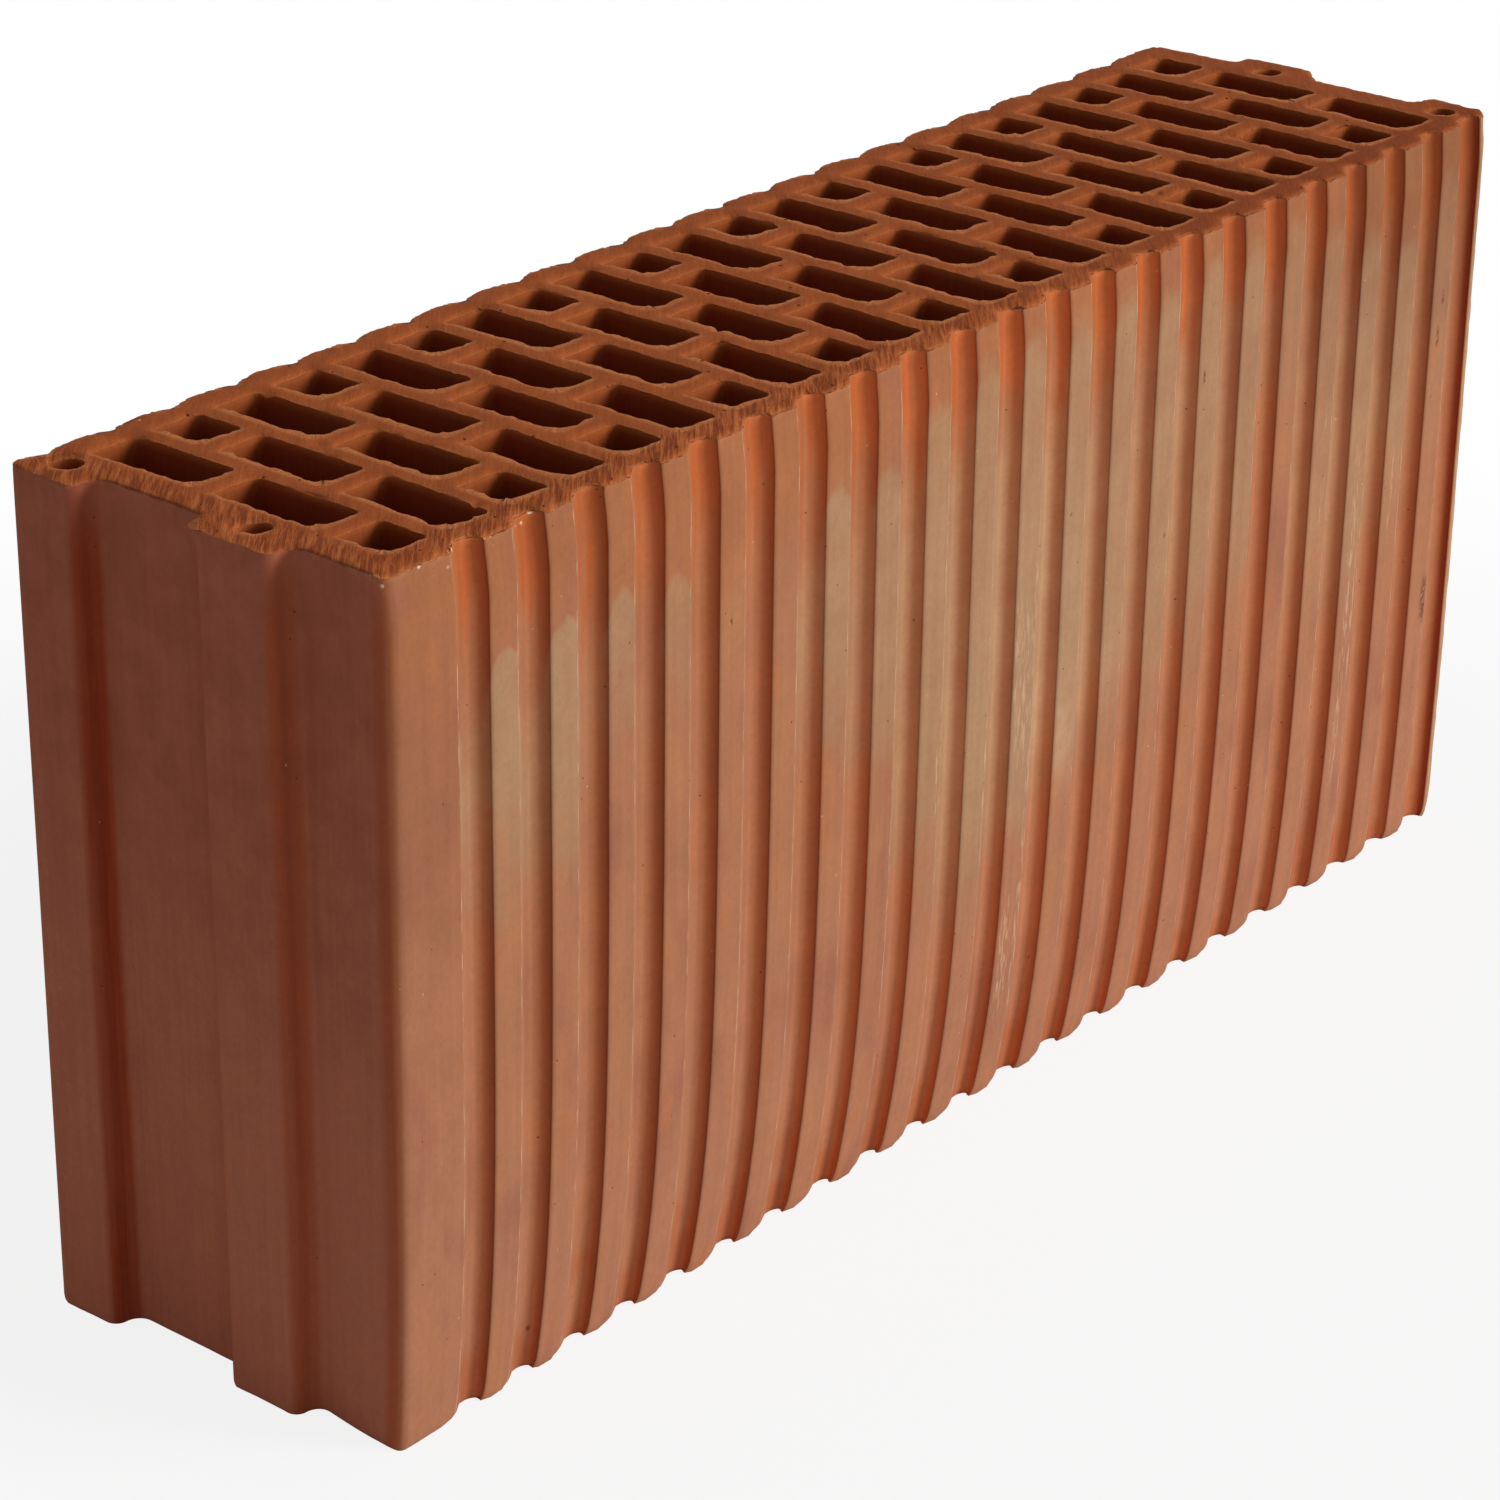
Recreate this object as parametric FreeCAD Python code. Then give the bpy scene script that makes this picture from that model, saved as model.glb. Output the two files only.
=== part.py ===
# Hollow clay block: one extruded and fired piece, standing on its bed face.
# X runs along the length, Y through the wall that it builds, Z up. The origin is the middle of the bed face.
# The plan turns onto itself by half a turn about Z, so each feature is drawn once and turned for its twin.
import FreeCAD, Part
import math
import os

# Overall size, over the tongues and over the ribs
LENGTH = 500.0
WIDTH = 120.0
HEIGHT = 238.0

# Tongues and recesses of the end faces, measured across the end at half the tongue's depth.
# The play is what is left between a flank and the flank of the next block in the wall.
TONGUE_DEPTH = 8.0
EDGE_TONGUE = 22.5
WAVE_PLAY = 8.5
SLANT_PLAY = 4.0
SLANT_RUN = 7.5
SLANT_ROUND = 2.5
CORNER_ROUND = 4.0

# Plaster grooves of the long faces
GROOVES = 22
GROOVE_DEPTH = 4.0
GENTLE_RUN = 5.2
GROOVE_FLOOR = 4.0
STEEP_RUN = 2.2
GROOVE_FLOOR_ROUND = 3.0
RIB_EDGE_ROUND = 1.0
FIRST_RIB = 23.5
LAST_RIB = 5.5

# Slots: rows across the wall, each with two long slots and one short one
ROWS = 22
WEB = 5.5
CROSS_WEB = 6.0
SIDE_SHELL = 5.5
END_SHELL = 10.4
SHORT_SLOT = 17.0
SLOT_CORNER = 2.5
SLOT_CORNER_FLATS = 3

# Round hole through each tongue
TONGUE_HOLE = 8.5
TONGUE_HOLE_INSET = 10.0

# Flanks of the tongues at the end at -X, from the back to the front
EDGE_FLANK = WIDTH / 2 - EDGE_TONGUE
SLANT_FLANK = -SLANT_PLAY / 2
WAVE_FLANK = WAVE_PLAY - EDGE_FLANK

# Width of a groove at the face, over both of its walls and its floor
GROOVE_MOUTH = GENTLE_RUN + GROOVE_FLOOR + STEEP_RUN

UP = FreeCAD.Vector(0, 0, 1)
SAME_POINT = 1e-6


def half_turn(corners):
    """The same corners, turned by half a turn about Z."""
    return [(-x, -y, radius) for x, y, radius in corners]


def rounded_outline(corners):
    """A closed wire through corners (x, y, radius), each rounded by a tangent arc of its radius."""
    edges = []
    ends = []
    for index, (x, y, radius) in enumerate(corners):
        corner = FreeCAD.Vector(x, y, 0)
        before = corners[index - 1]
        after = corners[(index + 1) % len(corners)]
        back = (FreeCAD.Vector(before[0], before[1], 0) - corner).normalize()
        ahead = (FreeCAD.Vector(after[0], after[1], 0) - corner).normalize()
        half_angle = back.getAngle(ahead) / 2
        reach = radius / math.tan(half_angle)
        start = corner + back * reach
        stop = corner + ahead * reach
        bisector = (back + ahead).normalize()
        middle = corner + bisector * (radius / math.sin(half_angle) - radius)
        ends.append((start, stop))
        if radius > 0:
            edges.append(Part.Arc(start, middle, stop).toShape())
    for index, (start, stop) in enumerate(ends):
        previous_stop = ends[index - 1][1]
        if not previous_stop.isEqual(start, SAME_POINT):
            edges.append(Part.makeLine(previous_stop, start))
    return Part.Wire(Part.__sortEdges__(edges))


def near_end():
    """Corners of the end at -X, from the back face to the front face: tongue, socket, tongue, recess."""
    crest = -LENGTH / 2
    floor = crest + TONGUE_DEPTH
    wave = TONGUE_DEPTH / 2
    return [
        (crest, WIDTH / 2, CORNER_ROUND),
        (crest, EDGE_FLANK, wave),
        (floor, EDGE_FLANK, wave),
        (floor, SLANT_FLANK + SLANT_RUN / 2, 0),
        (crest, SLANT_FLANK - SLANT_RUN / 2, SLANT_ROUND),
        (crest, WAVE_FLANK, wave),
        (floor, WAVE_FLANK, wave),
        (floor, -WIDTH / 2, CORNER_ROUND),
    ]


def front_grooves():
    """Corners of the front face's grooves, along +X: a gentle wall, a floor and a steep wall each."""
    face = -WIDTH / 2
    floor = face + GROOVE_DEPTH
    first = -LENGTH / 2 + TONGUE_DEPTH + FIRST_RIB
    last = LENGTH / 2 - LAST_RIB - GROOVE_MOUTH
    pitch = (last - first) / (GROOVES - 1)
    corners = []
    for index in range(GROOVES):
        mouth = first + index * pitch
        corners += [
            (mouth, face, RIB_EDGE_ROUND),
            (mouth + GENTLE_RUN, floor, GROOVE_FLOOR_ROUND),
            (mouth + GENTLE_RUN + GROOVE_FLOOR, floor, GROOVE_FLOOR_ROUND),
            (mouth + GROOVE_MOUTH, face, RIB_EDGE_ROUND),
        ]
    return corners


def slot(x_centre, y_low, width, length):
    """A slot with its long sides across the wall, each corner rounded by a few flats."""
    reach_x = width / 2 - SLOT_CORNER
    reach_y = length / 2 - SLOT_CORNER
    points = []
    for quarter in range(4):
        for step in range(SLOT_CORNER_FLATS + 1):
            angle = math.radians(90) * (quarter + step / SLOT_CORNER_FLATS)
            side_x = reach_x if quarter in (0, 3) else -reach_x
            side_y = reach_y if quarter in (0, 1) else -reach_y
            x = x_centre + side_x + SLOT_CORNER * math.cos(angle)
            y = y_low + length / 2 + side_y + SLOT_CORNER * math.sin(angle)
            points.append(FreeCAD.Vector(x, y, 0))
    return Part.makePolygon(points + points[:1])


def slots():
    """Rows of three slots, with the short one at the front and at the back by turns."""
    span_x = LENGTH - 2 * (TONGUE_DEPTH + END_SHELL)
    span_y = WIDTH - 2 * (GROOVE_DEPTH + SIDE_SHELL)
    width = (span_x - (ROWS - 1) * WEB) / ROWS
    long_slot = (span_y - SHORT_SLOT - 2 * CROSS_WEB) / 2
    wires = []
    for row in range(ROWS):
        x_centre = -span_x / 2 + width / 2 + row * (width + WEB)
        lengths = [SHORT_SLOT, long_slot, long_slot]
        if row % 2:
            lengths.reverse()
        y_low = -span_y / 2
        for length in lengths:
            wires.append(slot(x_centre, y_low, width, length))
            y_low += length + CROSS_WEB
    return wires


def tongue_holes():
    """A round hole in the middle of each tongue, at both ends."""
    x = -LENGTH / 2 + TONGUE_HOLE_INSET
    edge_y = (WIDTH / 2 + EDGE_FLANK) / 2
    middle_y = (SLANT_FLANK + WAVE_FLANK) / 2
    wires = []
    for y in (edge_y, middle_y):
        for turn in (1, -1):
            centre = FreeCAD.Vector(turn * x, turn * y, 0)
            wires.append(Part.Wire(Part.makeCircle(TONGUE_HOLE / 2, centre, UP)))
    return wires


def clay_block():
    """The grooved and perforated section, drawn up to the full height."""
    half = near_end() + front_grooves()
    outline = rounded_outline(half + half_turn(half))
    section = Part.makeFace([outline] + slots() + tongue_holes(), "Part::FaceMakerBullseye")
    return section.extrude(FreeCAD.Vector(0, 0, HEIGHT))


os.makedirs("parts", exist_ok=True)
block = clay_block()
block.exportStep("parts/clay_block.step")
print("valid", block.isValid(), "litres", round(block.Volume / 1e6, 3))
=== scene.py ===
# Hollow clay block, fired and unglazed: the cut faces, the extruded skin and the slot walls.
import math

import bmesh
import bpy
from mathutils import Matrix, Vector, kdtree, noise


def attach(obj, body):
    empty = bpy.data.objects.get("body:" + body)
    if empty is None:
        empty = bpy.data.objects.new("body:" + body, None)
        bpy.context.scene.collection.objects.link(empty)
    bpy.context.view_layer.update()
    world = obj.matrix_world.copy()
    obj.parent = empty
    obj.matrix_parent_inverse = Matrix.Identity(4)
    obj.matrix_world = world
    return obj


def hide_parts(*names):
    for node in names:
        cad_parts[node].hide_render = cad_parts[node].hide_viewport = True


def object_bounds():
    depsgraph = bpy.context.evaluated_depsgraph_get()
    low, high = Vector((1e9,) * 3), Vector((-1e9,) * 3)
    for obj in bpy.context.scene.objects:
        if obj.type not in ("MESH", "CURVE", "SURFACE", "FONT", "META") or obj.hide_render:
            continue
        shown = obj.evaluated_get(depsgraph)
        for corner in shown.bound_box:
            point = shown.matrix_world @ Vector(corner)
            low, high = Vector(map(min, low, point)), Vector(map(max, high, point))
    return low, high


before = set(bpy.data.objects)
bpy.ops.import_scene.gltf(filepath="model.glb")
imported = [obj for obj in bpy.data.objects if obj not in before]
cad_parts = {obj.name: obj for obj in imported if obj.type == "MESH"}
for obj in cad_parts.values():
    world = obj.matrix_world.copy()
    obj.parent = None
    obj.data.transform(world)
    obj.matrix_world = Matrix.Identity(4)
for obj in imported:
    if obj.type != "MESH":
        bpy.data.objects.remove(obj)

cad_low, cad_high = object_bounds()

MM = 0.001
MM_IN_METRE = 1000.0

# Sizes of the block in millimetres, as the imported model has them
LENGTH, WIDTH, HEIGHT = 500.0, 120.0, 238.0
RECESS = 8.0
GROOVES = 22
GROOVE_DEPTH = 4.0
FIRST_MOUTH = -218.5
GROOVE_PITCH = 451.6 / (GROOVES - 1)
GROOVE_MOUTH = 11.4
GENTLE_END, STEEP_START = 5.2, 9.2

# Levels at which the walls are cut across, closer where the clay is torn, bent or worn
SKIN_LEVELS = (0.7, 1.8, 3.5, 6, 9.5, 14, 20, 27, 35, 44, 55, 68, 84, 104, 130, 165, 205, 222, 229,
               233.4, 235.6, 236.9, 237.5)
SLOT_LEVELS = (4, 30, 120, 214, 229, 233.4, 235.6, 236.9, 237.5)
LIP_LEVELS = tuple(range(10, 232, 3))

# Cells of the skin and of the torn clay in plan, with the places of their first cuts
SKIN_CELL, SKIN_FIRST_CUTS = 5.0, (1.3, 1.7)
TORN_CELL, TORN_FIRST_CUTS = 1.5, (0.61, 0.43)
TORN_FROM = 235.0

# Where the ribbed faces, the far end's lip and the outer strips of the bed begin, and cuts in each steep wall
RIBBED_FROM = 54.0
FAR_LIP_X, FAR_LIP_Y = 244.5, -53.0
BED_STRIP = 54.5
STEEP_CUTS = (10.3, 10.58, 10.86)

# Within these distances a point lies on a face, in millimetres, and vertices merge, in metres
ON_FACE, NEAR_FACE = 0.01, 0.05
MERGED = 2e-6

# Turns of the surface that count as none, and those that make a sharp edge
FLAT_TURN = math.radians(0.5)
SHARP_TURN = math.radians(56.0)

# Which finish each face takes
SKIN, CUT_FACE, SLOT_WALL = 0, 1, 2

# Way in which the cutting wire was dragged over the clay, in plan
WIRE_WAY = Vector((0.76, 0.65))

# Hollow of the grooves' steep walls, and the rounded foot of the ribs' edges
WALL_HOLLOW = 0.55
EDGE_ROUND, EDGE_ROUND_HEIGHT = 0.9, 5.0

# Lean of the dragged foot and of the head of the front face towards the near end
FOOT_LEAN, LEAST_LEAN = 7.6, 1.2
LEAN_FULL, LEAN_FADE, LEAN_TOP = 8.0, 36.0, 140.0
HEAD_LEAN, HEAD_FROM = 1.3, 222.0

# Rolled upper edge of the back face
ROLL_FROM, ROLL_FULL = 224.0, 236.5
ROLL_INSIDE, ROLL_DEPTH = 50.0, 2.9

# Sway of the skin, its worn edge on the bed, and the depth of the torn clay and of its crumbs under the cut
SWAY, SWAY_SIZE = 0.14, 34.0
BED_WEAR_HEIGHT = 1.8
TORN_DEPTH, CRUMB_FADE = 6.0, 1.1

# Burr over the slanted flank of the near end, and the worn corner of the far end
BURR_X, BURR_LOW_Y, BURR_HIGH_Y = -243.0, -14.0, 4.0
BURR_REACH, BURR_ROUGHNESS, BURR_DEPTH = 3.2, 1.4, 2.4
FAR_CORNER_X, FAR_CORNER_Y = 243.0, -50.0
FAR_FOOT_WEAR, FAR_FOOT_HEIGHT = 2.6, 9.0

# Rims of the slots: the lip that the wire dragged, the corner that it filled, and holes too small for that
RIM_DEPTH, LIP_FADE = 8.0, 1.8
FILLED_CORNER, FILLED_DEPTH = 7.0, 3.2
SMALL_HOLE = 12.0

# Chips and pits in the cut face: place in plan, radius and depth
CHIPS = ((-193.5, -44.5, 1.7, 1.4), (-196.5, -41.0, 1.4, 1.1), (-190.0, 12.0, 1.9, 1.3),
         (-173.0, 47.0, 2.0, 1.2), (-132.0, 22.0, 1.8, 1.2), (174.0, -10.0, 1.6, 1.5),
         (177.5, -12.5, 1.7, 1.8), (181.0, -14.0, 1.5, 1.4), (111.0, -26.0, 1.5, 1.4),
         (113.5, -29.0, 1.6, 1.6), (36.0, 33.0, 1.7, 1.0), (-61.0, -8.5, 1.6, 1.0))

# Pale scrapes and dark scratches down the front face: place along it, half width, lowest and highest point
SCRAPES = ((13.0, 3.4, 92.0, 156.0), (17.2, 0.9, 18.0, 174.0), (12.0, 2.6, 16.0, 66.0),
           (9.0, 0.9, 104.0, 160.0), (185.0, 1.4, 26.0, 152.0), (188.0, 0.7, 58.0, 116.0),
           (206.0, 0.8, 108.0, 144.0), (165.0, 0.6, 120.0, 170.0), (-26.5, 0.6, 92.0, 128.0),
           (-4.2, 0.6, 76.0, 132.0))
SCRATCHES = ((231.5, 1.6, 70.0, 92.0), (227.5, 0.8, 166.0, 175.0), (229.0, 0.7, 180.0, 186.0),
             (97.0, 0.6, 189.5, 196.0), (-116.5, 0.45, 184.6, 187.0), (80.5, 0.4, 148.0, 150.5),
             (-188.0, 0.45, 9.8, 11.8))

# Grey bloom, one row a rib from the near end: height of its head and foot, strength, softness of its head
BLOOM = ((200, 180, 0.0, 9), (208, 150, 1.0, 2), (208, 147, 1.0, 2), (209, 172, 0.8, 3), (206, 178, 0.6, 3),
         (200, 178, 0.2, 9), (205, 184, 0.15, 9), (211, 148, 0.9, 4), (214, 130, 0.85, 7), (224, 92, 0.9, 9),
         (231, 72, 0.95, 10), (233, 80, 0.9, 10), (233, 108, 0.85, 12), (233, 106, 0.9, 12),
         (233, 104, 0.9, 12), (233, 118, 0.85, 12), (233, 130, 0.8, 12), (233, 178, 0.5, 12),
         (225, 106, 0.6, 12), (219, 102, 0.8, 9), (212, 122, 0.8, 8), (226, 150, 0.4, 10), (200, 180, 0.0, 9))

# The bloom's table in a colour ramp: its steps, the height of a full channel, and the softest head
RAMP_STEPS = 32.0
RAMP_HEIGHT = 255.0
SOFTEST_HEAD = 12.0

# Photograph's view: its angles in degrees, the camera's distance and offsets in millimetres, and its lens
VIEW_ANGLES = (-51.02, 24.77, 0.67)
VIEW_DISTANCE, VIEW_ASIDE, VIEW_BELOW = 1283.7, 22.0, 25.3
SENSOR_WIDTH, LENS = 36.0, 107.6

# Key lamp: the way to it, its distance and size in metres, and its power
KEY_WAY = (0.48, -0.76, 0.45)
KEY_DISTANCE, KEY_SIZE, KEY_POWER = 4.0, 1.8, 122.0

# Floor: half its size, and between which distances it turns into the backdrop, in metres
FLOOR_REACH = 12.0
BACKDROP_FROM, BACKDROP_FULL = 0.26, 0.6


def smooth_step(low, high, value):
    """0 below low, 1 above high, and an even change between them."""
    share = min(max((value - low) / (high - low), 0.0), 1.0)
    return share * share * (3.0 - 2.0 * share)


def rough(point, size, seed=0.0):
    """Even noise from about -1 to 1 with lumps of the given size, the same on each run."""
    x, y, z = point
    return noise.noise(Vector((x / size + seed, y / size - seed, z / size + 0.37 * seed)))


def side_faces(bm):
    """The upright faces in connected groups: the outer skin, and the wall of each slot and hole."""
    waiting = dict.fromkeys(face for face in bm.faces if abs(face.normal.z) < 0.5)
    groups = []
    while waiting:
        growing = [waiting.popitem()[0]]
        group = []
        while growing:
            face = growing.pop()
            group.append(face)
            for edge in face.edges:
                for other in edge.link_faces:
                    if other in waiting:
                        del waiting[other]
                        growing.append(other)
        groups.append(group)
    return groups


def with_their_edges(faces):
    """Faces with their edges and vertices, as the cutting operator takes them."""
    edges = dict.fromkeys(edge for face in faces for edge in face.edges)
    vertices = dict.fromkeys(vertex for face in faces for vertex in face.verts)
    return list(faces) + list(edges) + list(vertices)


def cut_across(bm, faces, axis, places):
    """Cuts the faces along planes square to one axis, at places in millimetres."""
    geometry = with_their_edges(faces)
    square = [0.0, 0.0, 0.0]
    square[axis] = 1.0
    for place in places:
        point = [0.0, 0.0, 0.0]
        point[axis] = place * MM
        cut = bmesh.ops.bisect_plane(bm, geom=geometry, dist=1e-7, plane_co=point, plane_no=square)
        geometry = list(dict.fromkeys(cut["geom"]))


def spaced(low, high, step, offset):
    """Evenly spaced places between two limits."""
    count = int((high - low) / step)
    places = [low + offset + index * step for index in range(count)]
    return [place for place in places if low < place < high]


def plan_box(faces):
    """The box in plan around some faces: lowest and highest X, lowest and highest Y, in millimetres."""
    all_x = [vertex.co.x / MM for face in faces for vertex in face.verts]
    all_y = [vertex.co.y / MM for face in faces for vertex in face.verts]
    return min(all_x), max(all_x), min(all_y), max(all_y)


def faces_where(bm, test):
    """The faces that pass a test of their finish and of their middle in millimetres."""
    return [face for face in bm.faces if test(face.material_index, face.calc_center_median() / MM)]


def cut_cells(bm, test, cell, first_cuts):
    """Cuts the faces that pass a test into cells of one size in plan."""
    for axis, half in enumerate((LENGTH / 2, WIDTH / 2)):
        cut_across(bm, faces_where(bm, test), axis, spaced(-half, half, cell, first_cuts[axis]))


def divided_block():
    """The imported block's mesh, merged, with its faces named by finish and cut finely enough to be worked."""
    bm = bmesh.new()
    bm.from_mesh(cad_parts["clay_block"].data)
    bmesh.ops.remove_doubles(bm, verts=bm.verts, dist=MERGED)
    bmesh.ops.dissolve_limit(bm, angle_limit=FLAT_TURN, use_dissolve_boundaries=False,
                             verts=bm.verts[:], edges=bm.edges[:], delimit=set())
    for face in bm.faces:
        face.material_index = CUT_FACE
    groups = side_faces(bm)
    skin = max(groups, key=len)
    slots = [plan_box(group) for group in groups if group is not skin]
    for group in groups:
        for face in group:
            face.material_index = SKIN if group is skin else SLOT_WALL

    mouths = [FIRST_MOUTH + index * GROOVE_PITCH for index in range(GROOVES)]
    walls = [mouth + past for mouth in mouths for past in STEEP_CUTS]
    for turn in (1.0, -1.0):
        ribbed = faces_where(bm, lambda finish, middle: finish == SKIN and turn * middle.y < -RIBBED_FROM)
        cut_across(bm, ribbed, 0, [turn * place for place in walls])
    cut_cells(bm, lambda finish, middle: finish == SKIN, SKIN_CELL, SKIN_FIRST_CUTS)
    cut_across(bm, faces_where(bm, lambda finish, middle: finish == SKIN), 2, SKIN_LEVELS)
    cut_across(bm, faces_where(bm, lambda finish, middle: finish == SLOT_WALL), 2, SLOT_LEVELS)
    far_lip = faces_where(bm, lambda finish, middle:
                          finish == SKIN and middle.x > FAR_LIP_X and middle.y < FAR_LIP_Y)
    cut_across(bm, far_lip, 2, LIP_LEVELS)
    cut_cells(bm, lambda finish, middle: middle.z > TORN_FROM, TORN_CELL, TORN_FIRST_CUTS)

    # The bed is cut at the foot of each groove, so that it doesn't fold when the foot of the ribs leans
    feet = [mouth + (GENTLE_END + STEEP_START) / 2 for mouth in mouths]
    cut_across(bm, faces_where(bm, lambda finish, middle: middle.z < ON_FACE), 1, (-BED_STRIP, BED_STRIP))
    for turn in (1.0, -1.0):
        strip = faces_where(bm, lambda finish, middle: middle.z < ON_FACE and turn * middle.y < -BED_STRIP)
        cut_across(bm, strip, 0, [turn * place for place in feet])
    return bm, slots


def groove_depth(past):
    """Depth of a plaster groove at a distance past its mouth."""
    if past < GENTLE_END:
        return GROOVE_DEPTH * past / GENTLE_END
    if past < STEEP_START:
        return GROOVE_DEPTH
    return GROOVE_DEPTH * max(GROOVE_MOUTH - past, 0.0) / (GROOVE_MOUTH - STEEP_START)


def groove_wear(x, y, z):
    """Move that hollows a groove's steep wall under its rib and rounds the foot of the ribs' edges."""
    move = Vector((0.0, 0.0, 0.0))
    turn = 1.0 if y < 0.0 else -1.0
    past = (turn * x - FIRST_MOUTH) % GROOVE_PITCH
    sunk = WIDTH / 2 - abs(y)
    if turn * x < FIRST_MOUTH - 4.0 or sunk > GROOVE_DEPTH + NEAR_FACE:
        return move
    if GENTLE_END + 1.8 < past < GROOVE_MOUTH + 0.7:
        move.x += WALL_HOLLOW * turn * smooth_step(0.1, 0.9, sunk) * smooth_step(3.98, 2.8, sunk)
    edge = min(past, GROOVE_PITCH - past, abs(past - GROOVE_MOUTH))
    if z < EDGE_ROUND_HEIGHT and sunk < 1.6:
        move.y += EDGE_ROUND * turn * smooth_step(2.2, 0.4, edge) * (1.0 - z / EDGE_ROUND_HEIGHT) ** 2
    return move


def rib_bend(x, y, z):
    """How far the dragged foot of the front face leans towards the near end."""
    along = min(max((x + LENGTH / 2) / LENGTH, 0.0), 1.0)
    lean = FOOT_LEAN * math.sin(math.pi * along ** 0.86) ** 0.8 + LEAST_LEAN
    foot = math.exp(-(z - LEAN_FULL) / LEAN_FADE) - math.exp(-(LEAN_TOP - LEAN_FULL) / LEAN_FADE)
    head = HEAD_LEAN * smooth_step(HEAD_FROM, HEIGHT, z)
    depth = smooth_step(-18.0, -56.0, y) + 0.22 * smooth_step(-56.2, -59.6, y)
    return -(lean * max(foot, 0.0) + head) * depth


def rolled_back_edge(x, y, z):
    """How far the back face moves out under its cut edge, its ribs rolled round and its grooves filled."""
    if y < ROLL_INSIDE or z < ROLL_FROM or -x < FIRST_MOUTH - GROOVE_MOUTH / 2:
        return 0.0
    past = (-x - FIRST_MOUTH) % GROOVE_PITCH
    from_rib = abs(2.0 * (((past - GROOVE_MOUTH / 2) % GROOVE_PITCH) / GROOVE_PITCH) - 1.0)
    depth = groove_depth(past)
    change = depth - ROLL_DEPTH * from_rib ** 2.3
    inside = smooth_step(ROLL_INSIDE, WIDTH / 2 - depth - ON_FACE, y)
    return change * smooth_step(ROLL_FROM, ROLL_FULL, z) * inside


def near_end_burr(place, depth):
    """How far the wire pushed a burr over the slanted flank of the near end."""
    x, y = place.xy
    if x >= BURR_X or not BURR_LOW_Y < y < BURR_HIGH_Y:
        return 0.0
    burr = smooth_step(-243.5, -249.0, x) * smooth_step(-13.0, -6.5, y)
    reach = BURR_REACH + BURR_ROUGHNESS * rough(place, 2.2, 5.1)
    return reach * burr * math.exp(-(depth / BURR_DEPTH) ** 2)


def skin_move(place, way):
    """Wear of the extruded skin: sway, a softened foot, torn edges, a burr and the far end's worn corner."""
    x, y, z = place
    depth = HEIGHT - z
    move = way * (-SWAY - SWAY * rough((x, y, z * 0.35), SWAY_SIZE, 3.1))
    if z < BED_WEAR_HEIGHT:
        move -= way * (0.45 + 0.25 * rough(place, 5.0, 8.3)) * (1.0 - z / BED_WEAR_HEIGHT) ** 2
    if depth < TORN_DEPTH:
        crumbs = 0.7 * rough(place, 2.8, 7.7) + 0.5 * rough(place, 1.3, 2.3)
        bites = max(rough(place, 7.0, 11.9) - 0.3, 0.0) * 2.6
        move += way * min(crumbs - bites - 0.2, 0.0) * math.exp(-depth / CRUMB_FADE)
        move.y += near_end_burr(place, depth)
    if x > FAR_CORNER_X and y < FAR_CORNER_Y:
        foot = max(1.0 - z / FAR_FOOT_HEIGHT, 0.0) ** 2
        move.x -= FAR_FOOT_WEAR * smooth_step(FAR_CORNER_X, LENGTH / 2, x) * foot
        move.x -= max(0.5 + 1.3 * rough(place, 5.0, 4.7), 0.0) * smooth_step(246.5, 249.0, x)
    return move


def wire_entry(way):
    """How far a rim is rounded where the wire came in over it: most at the slots' back ends."""
    return 0.85 * max(-way.y, 0.0) + 0.15 * max(-way.x, 0.0)


def wire_exit(way):
    """How squarely the wire left the clay over a rim that faces some way."""
    return max(way.x * WIRE_WAY.x + way.y * WIRE_WAY.y, 0.0)


def slot_move(place, way, slots):
    """A slot's rim: a lip dragged over the void where the wire left, one filled corner, and crumbs."""
    x, y, z = place
    depth = HEIGHT - z
    crumbs = 0.3 * rough(place, 2.6, 7.7) + 0.25 * rough(place, 1.1, 2.3)
    bites = max(rough(place, 7.0, 11.9) - 0.4, 0.0) * 2.0
    torn = crumbs - bites - 0.7 * wire_entry(way)
    lip = wire_exit(way) * (0.9 + 1.1 * rough(place, 7.0, 6.1) + 1.1 * rough(place, 3.4, 1.9))
    move = way * (lip * math.exp(-depth / LIP_FADE) + torn * math.exp(-depth / CRUMB_FADE))
    for low_x, high_x, low_y, high_y in slots:
        in_x = low_x - NEAR_FACE < x < high_x + NEAR_FACE
        if not (in_x and low_y - NEAR_FACE < y < high_y + NEAR_FACE):
            continue
        if high_x - low_x < SMALL_HOLE:
            return move * 0.35
        reach = FILLED_CORNER + 1.2 * rough((low_x, low_y, 0.0), 13.0, 3.3)
        to_x = reach - (x - low_x)
        to_y = reach - (y - low_y)
        far = math.hypot(to_x, to_y)
        if to_x > 0.0 and to_y > 0.0 and far > reach:
            filled = (far - reach) / far * math.exp(-(depth / FILLED_DEPTH) ** 2)
            move += Vector((to_x, to_y, 0.0)) * filled
    return move


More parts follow.
